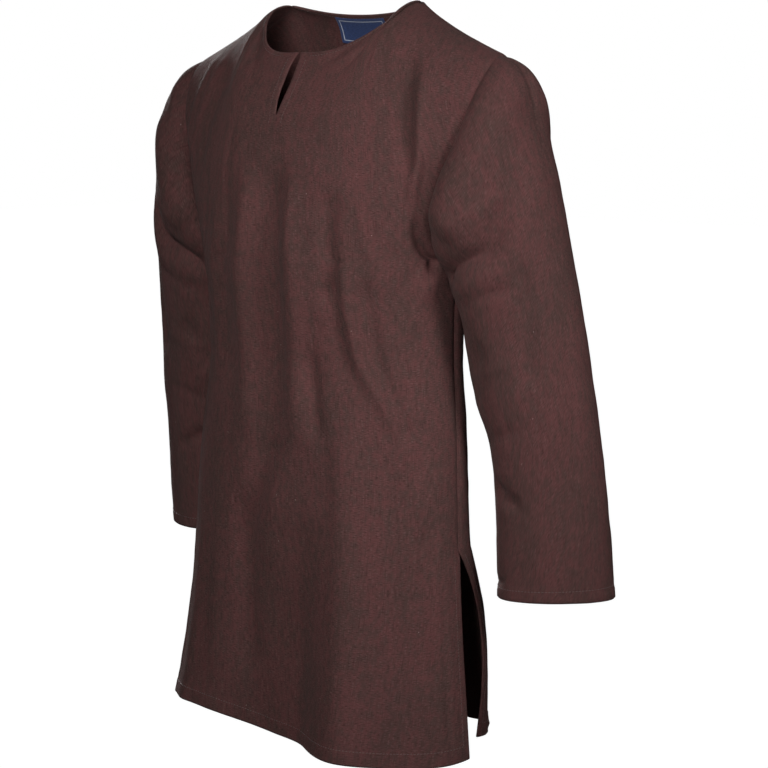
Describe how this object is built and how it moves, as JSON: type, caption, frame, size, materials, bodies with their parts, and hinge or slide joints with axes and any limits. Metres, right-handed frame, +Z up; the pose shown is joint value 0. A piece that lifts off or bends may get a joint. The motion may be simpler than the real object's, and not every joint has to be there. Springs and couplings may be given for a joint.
{
  "type": "viking tunic",
  "caption": "Long-sleeved, knee-high pullover tunic of dark brown woven cloth with a round neck, a neck slit and open side slits, hollow as if worn.",
  "frame": {"origin": "between the wearer's shoulders, close to the height where the shoulder seams meet the neck", "axes": "+Z up, the front faces -Y, the wearer's left is +X"},
  "size_m": [0.703, 0.2895, 0.9111],
  "materials": {
    "brown_cloth": "plain weave of slubby, lightly brushed yarn, matt",
    "blue_label": "dense smooth woven label, plain, with a pale woven border"
  },
  "bodies": {
    "root": {"front": "brown_cloth", "back": "brown_cloth", "sleeve_left": "brown_cloth", "sleeve_right": "brown_cloth", "label": "blue_label"}
  },
  "joints": []
}
